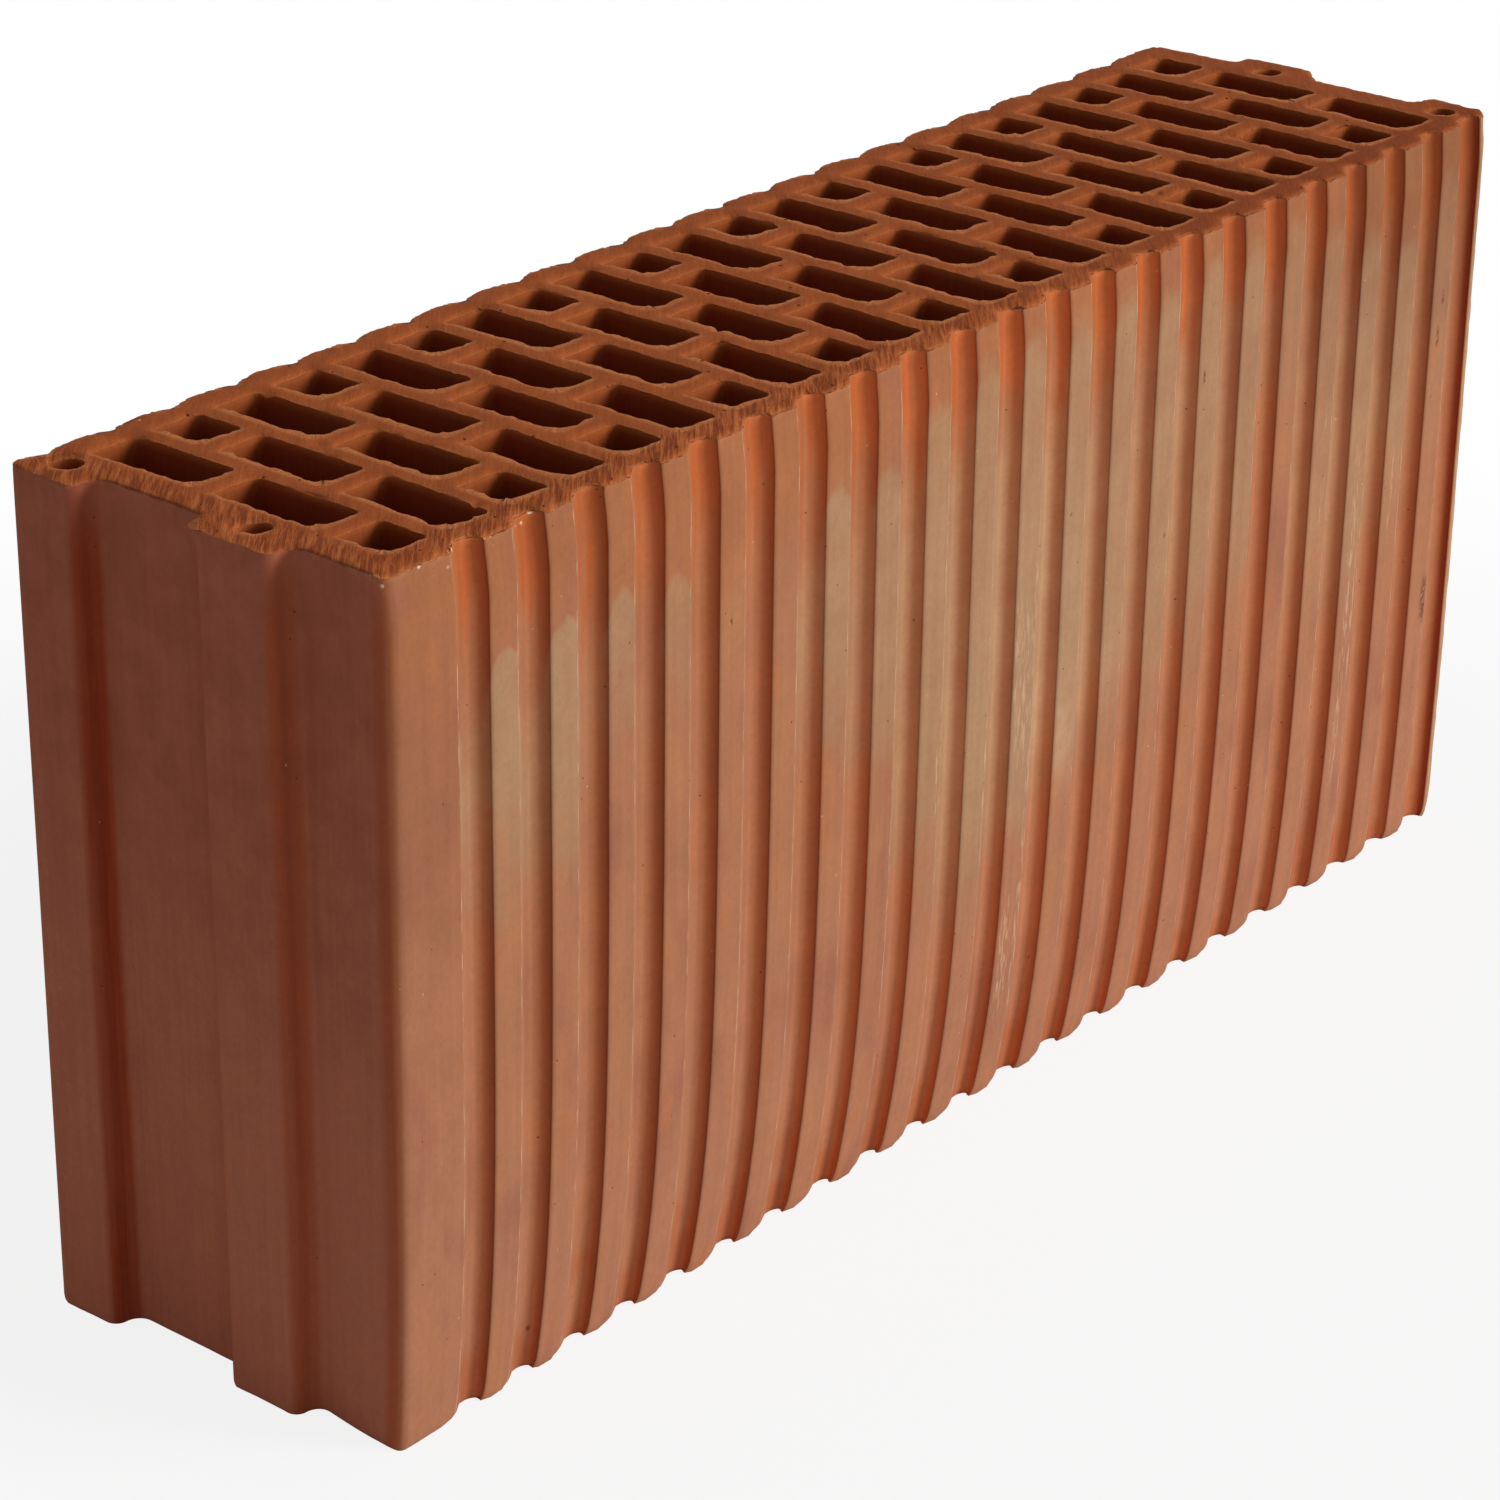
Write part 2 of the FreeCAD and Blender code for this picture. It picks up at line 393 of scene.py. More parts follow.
def cut_fall(place, gap, way):
    """How far the cut face lies below its highest plane, by the drag of the wire, its rims and its chips."""
    x, y = place.xy
    level = (x, y, 0.0)
    across = x * WIRE_WAY.y - y * WIRE_WAY.x
    along = x * WIRE_WAY.x + y * WIRE_WAY.y
    drag = 0.5 + 0.5 * noise.noise(Vector((across / 2.0, along / 14.0, 4.4)))
    fall = 0.2 * drag + 0.5 * (0.5 + 0.5 * rough(level, 30.0, 5.5))
    entering = wire_entry(way)
    width = 1.5 + 2.2 * entering
    if gap < width:
        fall += (0.1 + 0.25 * rough(level, 2.6, 9.1) + 0.95 * entering) * (1.0 - gap / width) ** 2
    for chip_x, chip_y, radius, sunk in CHIPS:
        if abs(x - chip_x) < 2 * radius and abs(y - chip_y) < 2 * radius:
            off = math.hypot(x - chip_x, y - chip_y) / radius + 0.45 * rough(level, 2.2, 4.0)
            if off < 1.0:
                fall += sunk * (1.0 - off * off)
    return max(fall, 0.0)


def wall_way(vertex):
    """The way out of the clay at a vertex on a wall, or no way at all on a cut face."""
    way = Vector((0.0, 0.0, 0.0))
    for face in vertex.link_faces:
        if face.material_index != CUT_FACE:
            way += face.normal
    return way.normalized() if way.length > 1e-6 else Vector((0.0, 0.0, 0.0))


def skin_notes(x, y, way):
    """What the skin's finish needs at a point: its share of an end, its depth in a hollow, and steepness."""
    ribbed_from = WIDTH / 2 - GROOVE_DEPTH - NEAR_FACE
    last_rib = (-y if x > 0.0 else y) > ribbed_from
    if last_rib:
        ending = smooth_step(0.4, 0.9, abs(way.x)) * smooth_step(245.0, 249.0, abs(x))
    else:
        ending = smooth_step(240.5, 241.8, abs(x))
    if last_rib or abs(y) > ribbed_from and abs(x) < LENGTH / 2 - RECESS:
        hollow = (WIDTH / 2 - abs(y)) / GROOVE_DEPTH
        steep = smooth_step(0.35, 0.8, -way.x if y < 0 else way.x)
    else:
        hollow = (LENGTH / 2 - abs(x)) / RECESS
        on_tongue = abs(x) > LENGTH / 2 - RECESS - NEAR_FACE
        steep = smooth_step(0.25, 0.8, abs(way.y)) if on_tongue else 0.0
    return ending, min(max(hollow, 0.0), 1.0), steep


def worked_clay(bm, slots):
    """Tears the cut edges, wears the faces, leans the foot and notes on vertices what the finishes need."""
    unbent = bm.verts.layers.float_vector.new("unbent")
    hollow, steep, lip, margin, ending = [bm.verts.layers.float.new(name) for name in
                                          ("hollow", "steep", "lip", "margin", "ending")]
    bm.normal_update()
    ways = {vertex: wall_way(vertex) for vertex in bm.verts}
    rims = [vertex for vertex in bm.verts
            if vertex.co.z > (HEIGHT - ON_FACE) * MM and ways[vertex].length > 0.5]
    near = kdtree.KDTree(len(rims))
    for index, vertex in enumerate(rims):
        near.insert(vertex.co, index)
    near.balance()
    moves = []
    for vertex in bm.verts:
        x, y, z = (value / MM for value in vertex.co)
        place = Vector((x, y, z))
        way = ways[vertex]
        depth = HEIGHT - z
        finishes = {face.material_index for face in vertex.link_faces}
        vertex[unbent] = vertex.co.copy()
        from_edge = min(WIDTH / 2 + y, LENGTH / 2 + x - 4.0)
        vertex[margin] = smooth_step(17.0, 9.0, from_edge) * smooth_step(260.0, -180.0, x)
        move = Vector((0.0, 0.0, 0.0))
        if SKIN in finishes:
            vertex[ending], vertex[hollow], vertex[steep] = skin_notes(x, y, way)
            move += skin_move(place, way) + groove_wear(x, y, z)
        elif SLOT_WALL in finishes:
            vertex[steep] = smooth_step(0.3, 0.8, abs(way.y))
            if depth < RIM_DEPTH:
                move += slot_move(place, way, slots)
        if depth < TORN_DEPTH:
            rim_way, gap = way, 0.0
            if way.length < 0.5:
                index, gap = near.find(vertex.co)[1:]
                rim_way, gap = ways[rims[index]], gap / MM
            move.z -= max(cut_fall(place, gap, rim_way) - 0.9 * depth, 0.0)
            leaving = wire_exit(rim_way)
            if SKIN in finishes and y < -50.0:
                leaving = 0.4 + 0.6 * smooth_step(-185.0, -215.0, x)
            vertex[lip] = (0.3 + 0.7 * leaving) * smooth_step(1.4, 0.1, gap) * math.exp(-depth / 0.7)
        move.x += rib_bend(x, y, z)
        move.y += rolled_back_edge(x, y, z)
        moves.append((vertex, move * MM))
    for vertex, move in moves:
        vertex.co += move


def keep_in_box(bm):
    """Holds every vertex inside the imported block's box."""
    for vertex in bm.verts:
        for axis in range(3):
            vertex.co[axis] = min(max(vertex.co[axis], cad_low[axis]), cad_high[axis])


def sharp_edges(bm, limit):
    """Smooth faces that meet in a sharp edge wherever the clay turns by more than the limit."""
    for face in bm.faces:
        face.smooth = True
    for edge in bm.edges:
        edge.smooth = len(edge.link_faces) == 2 and edge.calc_face_angle(0.0) < limit


def put(tree, kind, feeds=None, **settings):
    """A node of one kind with its settings, and with values or links fed to its sockets."""
    made = tree.nodes.new(kind)
    for name, value in settings.items():
        setattr(made, name, value)
    for socket, value in (feeds or {}).items():
        if isinstance(value, bpy.types.NodeSocket):
            tree.links.new(value, made.inputs[socket])
        else:
            made.inputs[socket].default_value = value
    return made


def sums(tree, operation, *values, clamp=False):
    """One step of arithmetic on numbers or sockets."""
    made = put(tree, "ShaderNodeMath", dict(enumerate(values)), operation=operation, use_clamp=clamp)
    return made.outputs[0]


def times(tree, *values):
    """The product of numbers or sockets."""
    product = values[0]
    for value in values[1:]:
        product = sums(tree, "MULTIPLY", product, value)
    return product


def less(tree, value):
    """What is left of 1 after a value."""
    return sums(tree, "SUBTRACT", 1.0, value, clamp=True)


def one_plus(tree, value, share):
    """1 plus a share of a value."""
    return sums(tree, "MULTIPLY_ADD", value, share, 1.0)


def swayed(tree, value, cloud, reach):
    """A value moved up and down by a cloud, over a whole reach."""
    return sums(tree, "MULTIPLY_ADD", sums(tree, "SUBTRACT", cloud, 0.5), reach, value)


def between(tree, value, low, high, to_low=0.0, to_high=1.0):
    """Carries a value from one range to another with a smooth change."""
    feeds = {"Value": value, "From Min": low, "From Max": high, "To Min": to_low, "To Max": to_high}
    return put(tree, "ShaderNodeMapRange", feeds, interpolation_type="SMOOTHSTEP").outputs["Result"]


def over(tree, share, under, colour):
    """Lays a colour over another by a share."""
    feeds = {"Factor": share, "A": under, "B": colour}
    return put(tree, "ShaderNodeMix", feeds, data_type="RGBA").outputs["Result"]


def toned(tree, colour, *tones):
    """A colour made lighter or darker by factors."""
    feeds = {0: colour, "Scale": times(tree, *tones)}
    return put(tree, "ShaderNodeVectorMath", feeds, operation="SCALE").outputs[0]


def clouds(tree, place, size, detail=3.0, stretch=(1.0, 1.0, 1.0)):
    """Noise with lumps of a size in millimetres, longer along an axis where stretch is above 1."""
    scale = tuple(MM_IN_METRE / (size * share) for share in stretch)
    scaled = put(tree, "ShaderNodeMapping", {"Vector": place, "Scale": scale}).outputs["Vector"]
    feeds = {"Vector": scaled, "Scale": 1.0, "Detail": detail, "Roughness": 0.55}
    return put(tree, "ShaderNodeTexNoise", feeds).outputs["Fac"]


def dots(tree, place, spacing, radius, share):
    """Small round dots: 1 inside a dot, for a share of the cells of the given spacing in millimetres."""
    scale = (MM_IN_METRE / spacing,) * 3
    scaled = put(tree, "ShaderNodeMapping", {"Vector": place, "Scale": scale}).outputs["Vector"]
    cells = put(tree, "ShaderNodeTexVoronoi", {"Vector": scaled, "Scale": 1.0})
    inside = between(tree, cells.outputs["Distance"], radius / spacing * 1.3, radius / spacing * 0.5)
    picked = put(tree, "ShaderNodeSeparateColor", {"Color": cells.outputs["Color"]}).outputs["Red"]
    return times(tree, inside, sums(tree, "LESS_THAN", picked, share))


def streak(tree, along, up, place, half_width, low, high):
    """A mark down a face: 1 in its middle, from one height to another."""
    off = sums(tree, "ABSOLUTE", sums(tree, "SUBTRACT", along, place))
    fade = min(18.0, (high - low) / 3.0)
    run = times(tree, between(tree, up, low, low + fade), between(tree, up, high, high - fade))
    return times(tree, between(tree, off, half_width * 1.5, half_width * 0.4), run)


def any_streak(tree, along, up, rows):
    """The strongest of some marks at each point."""
    strongest = 0.0
    for row in rows:
        strongest = sums(tree, "MAXIMUM", streak(tree, along, up, *row), strongest)
    return strongest


def note(tree, name):
    """A value that the mesh carries on its vertices."""
    return put(tree, "ShaderNodeAttribute", attribute_name=name)


def srgb(*channels):
    """A colour read from a chart in 0 to 255, as the shader takes it."""
    linear = [(value / 255 / 12.92) if value <= 10 else ((value / 255 + 0.055) / 1.055) ** 2.4
              for value in channels]
    return (*linear, 1.0)


# Colours of the long faces, from the plain clay to the bloom, the grooves and the marks
DRAWN_CLAY, LOWER_CLAY, UPPER_CLAY = srgb(176, 117, 84), srgb(180, 121, 91), srgb(172, 108, 70)
DULL_BLOTCH, LIGHT_BLOTCH, WARM_PATCH = srgb(164, 104, 80), srgb(186, 124, 84), srgb(188, 116, 72)
PALE_RIBS, DUSKY_RIB, GREY_BLOOM = srgb(194, 158, 124), srgb(148, 90, 64), srgb(176, 135, 100)
GROOVE_CLAY, FRESH_ORANGE = srgb(176, 110, 74), srgb(188, 96, 46)
# The steep wall's two colours are its orange clay with painted shade at the top and painted light at the foot
STEEP_WALL_PAINTED_SHADE_TOP, STEEP_WALL_PAINTED_LIGHT_FOOT = srgb(160, 82, 42), srgb(190, 112, 72)
# The rib edge's pale colour is a painted highlight, partly pale wear
RIB_EDGE_HIGHLIGHT_AND_WEAR, LAST_GROOVE_SHADE, LAST_LIP = srgb(206, 164, 132), srgb(142, 54, 28), srgb(192, 152, 114)
SCRAPE, SCRATCH, SKIN_CRUMB = srgb(206, 166, 132), srgb(104, 58, 36), srgb(206, 140, 98)
# The first colour here is a painted shadow line under the overhanging cut edge
UNDERCUT_SHADOW_LINE, PALE_FLECK = srgb(84, 36, 18), srgb(232, 206, 184)
SKIN_PIT, SKIN_SPECK = srgb(96, 46, 26), srgb(222, 186, 156)

# Colours of the ends; their clay is painted redder and duller than the long faces' as painted shade
END_CLAY_PAINTED_SHADE, END_PATCH, END_FOOT = srgb(162, 90, 66), srgb(168, 97, 73), srgb(181, 106, 80)
FRONT_WAVE, BACK_WAVE = srgb(164, 80, 47), srgb(150, 55, 23)
END_DRAW_LINE, END_CRACK = srgb(176, 96, 62), srgb(196, 98, 48)

# Colours of the cut face
CUT_CLAY, CUT_PATCH, CUT_EDGE = srgb(157, 77, 34), srgb(175, 91, 45), srgb(136, 60, 22)
TEAR_GROUND, TEAR_RIDGE, CUT_CRUMB = srgb(112, 46, 18), srgb(200, 120, 68), srgb(212, 134, 82)
CUT_PIT, CUT_SPECK = srgb(74, 28, 12), srgb(228, 202, 178)

# Colours of the slot walls
SLOT_CLAY, SLOT_PATCH, SLOT_CRUMB = srgb(150, 74, 33), srgb(166, 86, 40), srgb(206, 132, 82)
# Both colours here are painted shade: under the rim and deeper in the slots
SLOT_SHADE_UNDER_RIM, SLOT_SHADE_INSIDE = srgb(128, 49, 17), srgb(118, 36, 10)


def clay_finish(name):
    """An empty material with its shader, ready for the colours of one finish."""
    material = bpy.data.materials.new(name)
    material.use_nodes = True
    tree = material.node_tree
    shader = tree.nodes["Principled BSDF"]
    shader.inputs["Specular IOR Level"].default_value = 0.14
    return material, tree, shader


def bumped(tree, shader, height, depth):
    """Feeds a height in 0 to 1 to the shader's normal, with the full depth in millimetres."""
    made = put(tree, "ShaderNodeBump", {"Height": height, "Distance": depth * MM, "Strength": 1.0})
    tree.links.new(made.outputs["Normal"], shader.inputs["Normal"])


def grooves_passed(tree, along):
    """Pitches of the grooves from the first mouth to a place along the face, with the fraction."""
    return sums(tree, "DIVIDE", sums(tree, "SUBTRACT", along, FIRST_MOUTH), GROOVE_PITCH)


def bloom_table(tree, count):
    """The bloom's row at a rib: its head, foot and strength as colour channels, and its softness as alpha."""
    row = sums(tree, "DIVIDE", sums(tree, "ADD", sums(tree, "FLOOR", count), 1.5), RAMP_STEPS)
    table = put(tree, "ShaderNodeValToRGB", {"Fac": row})
    ramp = table.color_ramp
    ramp.interpolation = "CONSTANT"
    while len(ramp.elements) < len(BLOOM):
        ramp.elements.new(0.99)
    for index, (head, foot, strength, softness) in enumerate(BLOOM):
        ramp.elements[index].position = index / RAMP_STEPS
        ramp.elements[index].color = (head / RAMP_HEIGHT, foot / RAMP_HEIGHT, strength,
                                      softness / SOFTEST_HEAD)
    channels = put(tree, "ShaderNodeSeparateColor", {"Color": table.outputs["Color"]}).outputs
    return channels, table.outputs["Alpha"]


def rib_bloom(tree, along, up, patch, deep):
    """The grey bloom: 1 where it is full, with an arched head and a soft foot on each rib and its groove."""
    count = grooves_passed(tree, along)
    channels, soft = bloom_table(tree, count)
    softness = sums(tree, "MULTIPLY_ADD", soft, SOFTEST_HEAD, times(tree, deep, 28.0))
    middle = (GROOVE_MOUTH + GROOVE_PITCH) / 2 / GROOVE_PITCH
    off_middle = sums(tree, "ABSOLUTE", sums(tree, "SUBTRACT", sums(tree, "FRACT", count), middle))
    aside = sums(tree, "MINIMUM", sums(tree, "MULTIPLY", off_middle, 4.0), 1.8)
    arch = times(tree, aside, aside, -5.0)
    head = swayed(tree, sums(tree, "MULTIPLY_ADD", channels["Red"], RAMP_HEIGHT, arch), patch, 14.0)
    below = between(tree, sums(tree, "SUBTRACT", head, up), 0.0, softness)
    foot = swayed(tree, sums(tree, "MULTIPLY", channels["Green"], RAMP_HEIGHT), patch, 80.0)
    above = between(tree, sums(tree, "SUBTRACT", up, foot), -22.0, 20.0)
    return times(tree, below, above, channels["Blue"])


def end_clay(tree, axes, up, height, steep, patch, drawn):
    """The ends: the same clay painted redder and duller as painted shade, deep red in the waves between the
    tongues.
    """
    # Painted shade: the ends' clay is the long faces' clay, painted redder and duller as it looks in shade
    colour = over(tree, between(tree, patch, 0.3, 0.7), END_CLAY_PAINTED_SHADE, END_PATCH)
    colour = over(tree, between(tree, height, 190.0, 50.0), colour, END_FOOT)
    wave_red = over(tree, between(tree, axes["Y"], -0.01, 0.02), FRONT_WAVE, BACK_WAVE)
    worn = times(tree, between(tree, drawn, 0.3, 0.7, 0.62, 1.0), between(tree, up, 237.0, 218.0, 0.3, 0.95))
    colour = over(tree, times(tree, steep, worn), colour, wave_red)
    colour = over(tree, between(tree, drawn, 0.6, 0.75, 0.0, 0.3), colour, END_DRAW_LINE)
    across = sums(tree, "MULTIPLY", axes["Y"], MM_IN_METRE)
    crack = streak(tree, across, up, 2.4, 0.45, -30.0, 92.0)
    return over(tree, times(tree, crack, 0.7), colour, END_CRACK)


def groove_painted_light_and_shade(tree, along, past_mouth, on_front):
    """Painted light and shade in the front's grooves: the floor painted paler, and painted shade at the foot
    of the next rib.
    """
    grooved = times(tree, on_front, sums(tree, "GREATER_THAN", along, FIRST_MOUTH))
    # Painted light: the groove's gentle wall and floor are painted paler
    further = between(tree, along, -170.0, -20.0)
    near_floor = times(tree, between(tree, past_mouth, 10.6, 9.3), less(tree, further), 0.26)
    far_floor = times(tree, further, between(tree, along, 60.0, 200.0, 0.4, 0.28))
    painted_light = times(tree, sums(tree, "ADD", near_floor, far_floor),
                  between(tree, past_mouth, 5.0, 9.2), between(tree, past_mouth, 11.6, 10.9))
    # Painted shade: darker where the next rib rises from the groove
    painted_shade = times(tree, between(tree, past_mouth, 13.0, 11.6), between(tree, past_mouth, 10.8, 11.4), -0.2)
    return sums(tree, "MULTIPLY_ADD", sums(tree, "ADD", painted_light, painted_shade), grooved, 1.0)


def extruded_skin():
    """Skin of the long faces and the ends: drawn clay with a grey bloom on the ribs and orange grooves."""
    material, tree, shader = clay_finish("extruded_skin")
    place = note(tree, "unbent").outputs["Vector"]
    axes = put(tree, "ShaderNodeSeparateXYZ", {"Vector": place}).outputs
    up = sums(tree, "MULTIPLY", axes["Z"], MM_IN_METRE)
    back = sums(tree, "GREATER_THAN", axes["Y"], 0.0)
    turned = sums(tree, "MULTIPLY_ADD", back, -2.0 * MM_IN_METRE, MM_IN_METRE)
    along = sums(tree, "MULTIPLY", axes["X"], turned)
    deep = note(tree, "hollow").outputs["Fac"]
    steep = note(tree, "steep").outputs["Fac"]
    lip = note(tree, "lip").outputs["Fac"]
    at_end = note(tree, "ending").outputs["Fac"]
    on_long = less(tree, at_end)
    on_front = times(tree, on_long, less(tree, back))

    wide = clouds(tree, place, 70.0, 2.0)
    blotch = clouds(tree, place, 19.0, 2.0, (1.0, 1.0, 2.2))
    patch = clouds(tree, place, 13.0, 3.0)
    warm = clouds(tree, place, 9.0, 2.0, (1.0, 1.0, 3.0))
    runs = clouds(tree, place, 4.0, 2.0, (1.0, 1.0, 9.0))
    gnawed = clouds(tree, place, 2.4, 3.0)
    drawn = clouds(tree, place, 2.2, 2.0, (1.0, 1.0, 40.0))
    fine = clouds(tree, place, 1.6, 3.0)
    flaky = clouds(tree, place, 1.0, 2.0, (1.0, 1.0, 7.0))

    # Plain clay with its blotches, the pale ribs in the middle and the dusky rib at the near end
    height = swayed(tree, up, wide, 110.0)
    colour = over(tree, between(tree, height, 130.0, 15.0), DRAWN_CLAY, LOWER_CLAY)
    colour = over(tree, between(tree, height, 185.0, 232.0), colour, UPPER_CLAY)
    colour = over(tree, between(tree, blotch, 0.5, 0.68, 0.0, 0.6), colour, DULL_BLOTCH)
    colour = over(tree, between(tree, blotch, 0.46, 0.3, 0.0, 0.5), colour, LIGHT_BLOTCH)
    colour = over(tree, between(tree, warm, 0.56, 0.72, 0.0, 0.5), colour, WARM_PATCH)
    off_x = sums(tree, "DIVIDE", sums(tree, "SUBTRACT", along, 18.0), 52.0)
    off_z = sums(tree, "DIVIDE", sums(tree, "SUBTRACT", up, 136.0), 64.0)
    off = sums(tree, "ADD", times(tree, off_x, off_x), times(tree, off_z, off_z))
    pale = times(tree, between(tree, off, 1.0, 0.1), on_long, between(tree, patch, 0.3, 0.7, 0.5, 0.95))
    colour = over(tree, pale, colour, PALE_RIBS)
    dusky = times(tree, between(tree, along, -212.0, -219.0), between(tree, height, 126.0, 162.0),
                  between(tree, height, 228.0, 198.0), on_front)
    colour = over(tree, times(tree, dusky, 0.5), colour, DUSKY_RIB)

    # Orange clay in the grooves, strongest under the cut face and at the foot, the steep walls with painted
    # shade at the top and painted light at the foot, and the bloom on the ribs
    under_cut = between(tree, swayed(tree, up, runs, 100.0), 200.0, 230.0)
    at_foot = between(tree, swayed(tree, up, patch, 80.0), 22.0, 2.0)
    fresh = sums(tree, "MAXIMUM", under_cut, times(tree, at_foot, 0.55))
    past_mouth = sums(tree, "MULTIPLY", sums(tree, "FRACT", grooves_passed(tree, along)), GROOVE_PITCH)
    on_floor = between(tree, past_mouth, 5.4, 8.8)
    hollow = sums(tree, "POWER", deep, 0.7)
    colour = over(tree, times(tree, hollow, on_long, on_floor, 0.45), colour, GROOVE_CLAY)
    # Painted shade and light: the steep walls' orange clay is painted darker near the rib and lighter near the
    # groove floor
    wall = over(tree, between(tree, deep, 0.15, 0.75), STEEP_WALL_PAINTED_SHADE_TOP, STEEP_WALL_PAINTED_LIGHT_FOOT)
    colour = over(tree, times(tree, steep, on_long, 0.75), colour, wall)
    bloom = times(tree, rib_bloom(tree, along, up, patch, deep), on_long,
                  between(tree, patch, 0.28, 0.66, 0.7, 1.0))
    cover = times(tree, bloom, one_plus(tree, times(tree, deep, on_floor), -0.3), one_plus(tree, steep, -0.4))
    colour = over(tree, cover, colour, GREY_BLOOM)
    colour = over(tree, times(tree, hollow, fresh, on_long, 0.8), colour, FRESH_ORANGE)

    # Pale line where each rib turns down into its groove: a painted highlight on the rounded edge, partly pale
    # wear
    half_pitch_on = sums(tree, "SUBTRACT", along, FIRST_MOUTH - GROOVE_PITCH / 2)
    step = sums(tree, "FRACT", sums(tree, "DIVIDE", half_pitch_on, GROOVE_PITCH))
    from_edge = sums(tree, "MULTIPLY", sums(tree, "SUBTRACT", step, 0.5), GROOVE_PITCH)
    line = between(tree, sums(tree, "ABSOLUTE", sums(tree, "ADD", from_edge, 0.1)), 0.5, 0.1)
    line = times(tree, line, on_long, between(tree, along, -229.0, -226.0),
                 between(tree, flaky, 0.46, 0.62, 0.04, 0.7))
    colour = over(tree, line, colour, RIB_EDGE_HIGHLIGHT_AND_WEAR)

    # The ends, with their painted shade, and the last groove, painted dark as painted shade, and the lip
    # before the far one
    colour = over(tree, at_end, colour, end_clay(tree, axes, up, height, steep, patch, drawn))
    # Painted shade: the last groove, deeper in shadow, is painted dark red
    last_groove = times(tree, between(tree, along, 242.9, 243.8), between(tree, along, 245.0, 244.3), on_long)
    colour = over(tree, times(tree, last_groove, 0.8), colour, LAST_GROOVE_SHADE)
    last_lip = times(tree, between(tree, along, 244.6, 245.6), on_long,
                     between(tree, flaky, 0.35, 0.6, 0.45, 0.9))
    colour = over(tree, last_lip, colour, LAST_LIP)

    # Scrapes, scratches, crumbs, a painted shadow line just under the cut edge, and flecks under it
    wander = swayed(tree, along, wide, 3.0)
    scraped = times(tree, any_streak(tree, wander, up, SCRAPES), on_front,
                    between(tree, flaky, 0.46, 0.64, 0.0, 0.75))
    colour = over(tree, scraped, colour, SCRAPE)
    scratched = times(tree, any_streak(tree, along, up, SCRATCHES), on_front, between(tree, fine, 0.35, 0.55))
    colour = over(tree, times(tree, scratched, 0.75), colour, SCRATCH)
    crumbled = times(tree, lip, between(tree, fine, 0.4, 0.6, 0.2, 0.9))
    colour = over(tree, crumbled, colour, SKIN_CRUMB)
    under = sums(tree, "SUBTRACT", HEIGHT, up)
    # Painted shadow: a dark ragged line just under the overhanging cut edge
    undercut_shadow = times(tree, between(tree, under, 1.3, 0.6), on_long, between(tree, gnawed, 0.46, 0.54))
    colour = over(tree, times(tree, undercut_shadow, 0.85), colour, UNDERCUT_SHADOW_LINE)
    flecked = times(tree, between(tree, under, 5.5, 3.0), on_front, between(tree, along, -165.0, -195.0))
    colour = over(tree, times(tree, flecked, dots(tree, place, 2.3, 0.55, 0.42)), colour, PALE_FLECK)

    # Draw lines, mottle and grain, the shade towards the far end, then pits and specks
    lines = between(tree, drawn, 0.35, 0.65, 0.97, 1.025)
    mottle = between(tree, patch, 0.3, 0.7, 0.96, 1.035)
    grain = between(tree, fine, 0.25, 0.75, 0.96, 1.04)
    shaded = times(tree, between(tree, along, 40.0, 230.0), between(tree, up, 130.0, 230.0), on_front)
    colour = toned(tree, colour, lines, mottle, grain, one_plus(tree, shaded, -0.24))
    # Painted light and shade in the grooves
    colour = toned(tree, colour, groove_painted_light_and_shade(tree, along, past_mouth, on_front))
    pits = dots(tree, place, 4.6, 0.3, 0.22)
    colour = over(tree, times(tree, pits, 0.7), colour, SKIN_PIT)
    specks = dots(tree, place, 6.5, 0.32, 0.24)
    colour = over(tree, times(tree, specks, 0.6), colour, SKIN_SPECK)
    tree.links.new(colour, shader.inputs["Base Color"])

    tree.links.new(between(tree, patch, 0.3, 0.7, 0.8, 0.93), shader.inputs["Roughness"])
    relief = sums(tree, "MULTIPLY_ADD", fine, 0.6, times(tree, drawn, 0.4))
    bumped(tree, shader, sums(tree, "SUBTRACT", relief, pits), 0.13)
    return material


